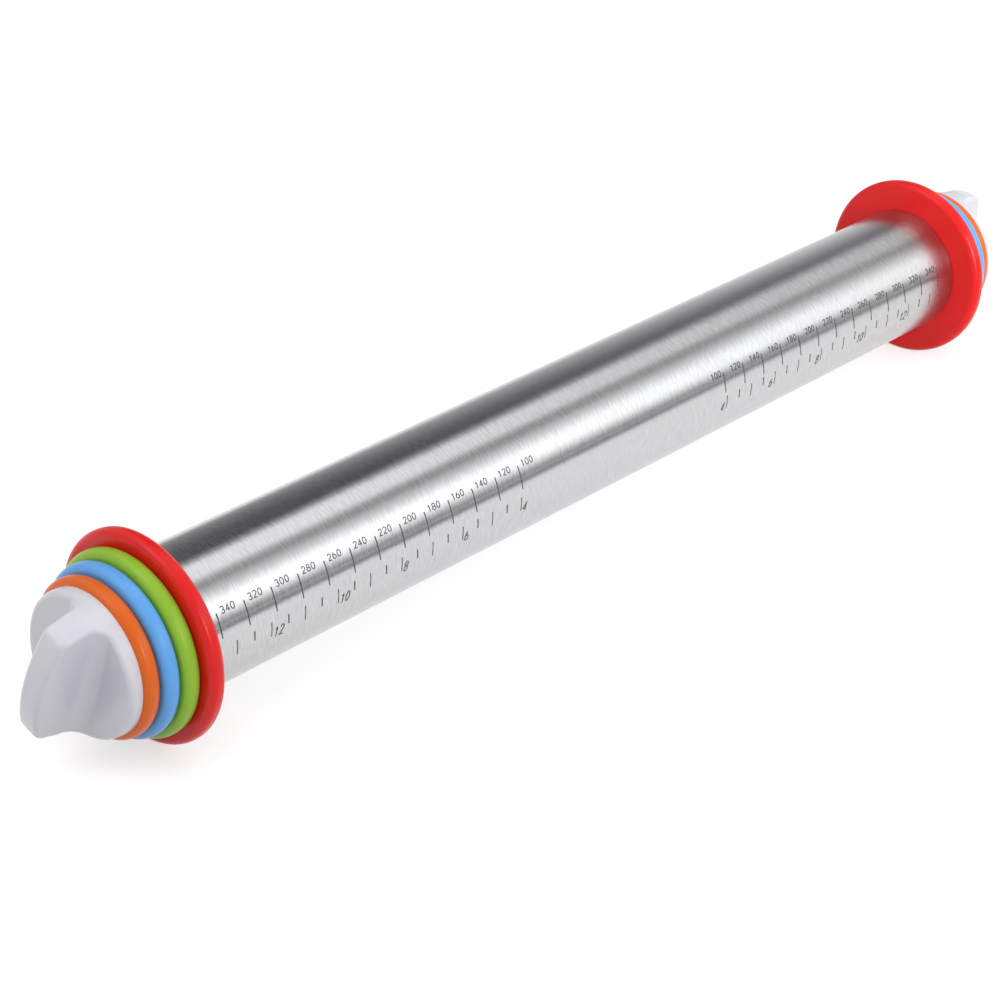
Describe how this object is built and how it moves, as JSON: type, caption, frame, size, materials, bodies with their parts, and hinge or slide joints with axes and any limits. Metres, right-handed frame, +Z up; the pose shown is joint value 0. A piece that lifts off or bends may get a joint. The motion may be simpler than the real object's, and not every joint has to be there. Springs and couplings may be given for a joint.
{
  "type": "adjustable rolling pin",
  "caption": "Steel-tube rolling pin with removable coloured thickness rings and a two-ended screw knob at each end.",
  "frame": {"origin": "middle of the roller tube, on its axis", "axes": "+X along the roller towards the right knob, +Z up; in use the pin rests on its two red rims, whose lowest line is 31.5 mm below the axis"},
  "size_m": [0.4356, 0.063, 0.063],
  "materials": {
    "brushed_tube": "stainless steel, brushed around the tube, with an etched grey scale",
    "red_plastic": "satin gloss moulding",
    "green_plastic": "satin gloss moulding",
    "blue_plastic": "satin gloss moulding",
    "orange_plastic": "satin gloss moulding",
    "white_plastic": "glossy moulding",
    "screw_plastic": "satin moulding",
    "plug_plastic": "matte moulding",
    "socket_plastic": "natural acetal",
    "seal_rubber": "matte rubber",
    "screw_steel": "zinc-plated steel"
  },
  "bodies": {
    "roller": {"roller_tube": "brushed_tube", "end_plug_left": "plug_plastic", "plug_seal_left": "seal_rubber", "thread_socket_left": "socket_plastic", "end_plug_right": "plug_plastic", "plug_seal_right": "seal_rubber", "thread_socket_right": "socket_plastic"},
    "red_left": {"red_ring_left": "red_plastic"},
    "green_left": {"green_ring_left": "green_plastic"},
    "blue_left": {"blue_ring_left": "blue_plastic"},
    "orange_left": {"orange_ring_left": "orange_plastic"},
    "knob_left": {"knob_grip_left": "white_plastic", "knob_screw_left": "screw_plastic", "fixing_screw_left": "screw_steel"},
    "red_right": {"red_ring_right": "red_plastic"},
    "green_right": {"green_ring_right": "green_plastic"},
    "blue_right": {"blue_ring_right": "blue_plastic"},
    "orange_right": {"orange_ring_right": "orange_plastic"},
    "knob_right": {"knob_grip_right": "white_plastic", "knob_screw_right": "screw_plastic", "fixing_screw_right": "screw_steel"}
  },
  "joints": [
    {"name": "red_left_slide", "type": "slide", "parent": "roller", "child": "red_left", "axis": [-1, 0, 0], "range_m": [0, 0.004]},
    {"name": "green_left_slide", "type": "slide", "parent": "red_left", "child": "green_left", "axis": [-1, 0, 0], "range_m": [0, 0.004]},
    {"name": "blue_left_slide", "type": "slide", "parent": "green_left", "child": "blue_left", "axis": [-1, 0, 0], "range_m": [0, 0.004]},
    {"name": "orange_left_slide", "type": "slide", "parent": "blue_left", "child": "orange_left", "axis": [-1, 0, 0], "range_m": [0, 0.024]},
    {"name": "knob_left_turn", "type": "hinge", "parent": "orange_left", "child": "knob_left", "pos_m": [-0.1978, 0, 0], "axis": [-1, 0, 0], "range_deg": [0, 2160]},
    {"name": "red_right_slide", "type": "slide", "parent": "roller", "child": "red_right", "axis": [1, 0, 0], "range_m": [0, 0.004]},
    {"name": "green_right_slide", "type": "slide", "parent": "red_right", "child": "green_right", "axis": [1, 0, 0], "range_m": [0, 0.004]},
    {"name": "blue_right_slide", "type": "slide", "parent": "green_right", "child": "blue_right", "axis": [1, 0, 0], "range_m": [0, 0.004]},
    {"name": "orange_right_slide", "type": "slide", "parent": "blue_right", "child": "orange_right", "axis": [1, 0, 0], "range_m": [0, 0.024]},
    {"name": "knob_right_turn", "type": "hinge", "parent": "orange_right", "child": "knob_right", "pos_m": [0.1978, 0, 0], "axis": [1, 0, 0], "range_deg": [0, 2160]}
  ],
  "couplings": [
    {"joint": "orange_left_slide", "follows": "knob_left_turn", "m_per_rad": 0.00063662},
    {"joint": "orange_right_slide", "follows": "knob_right_turn", "m_per_rad": 0.00063662}
  ]
}
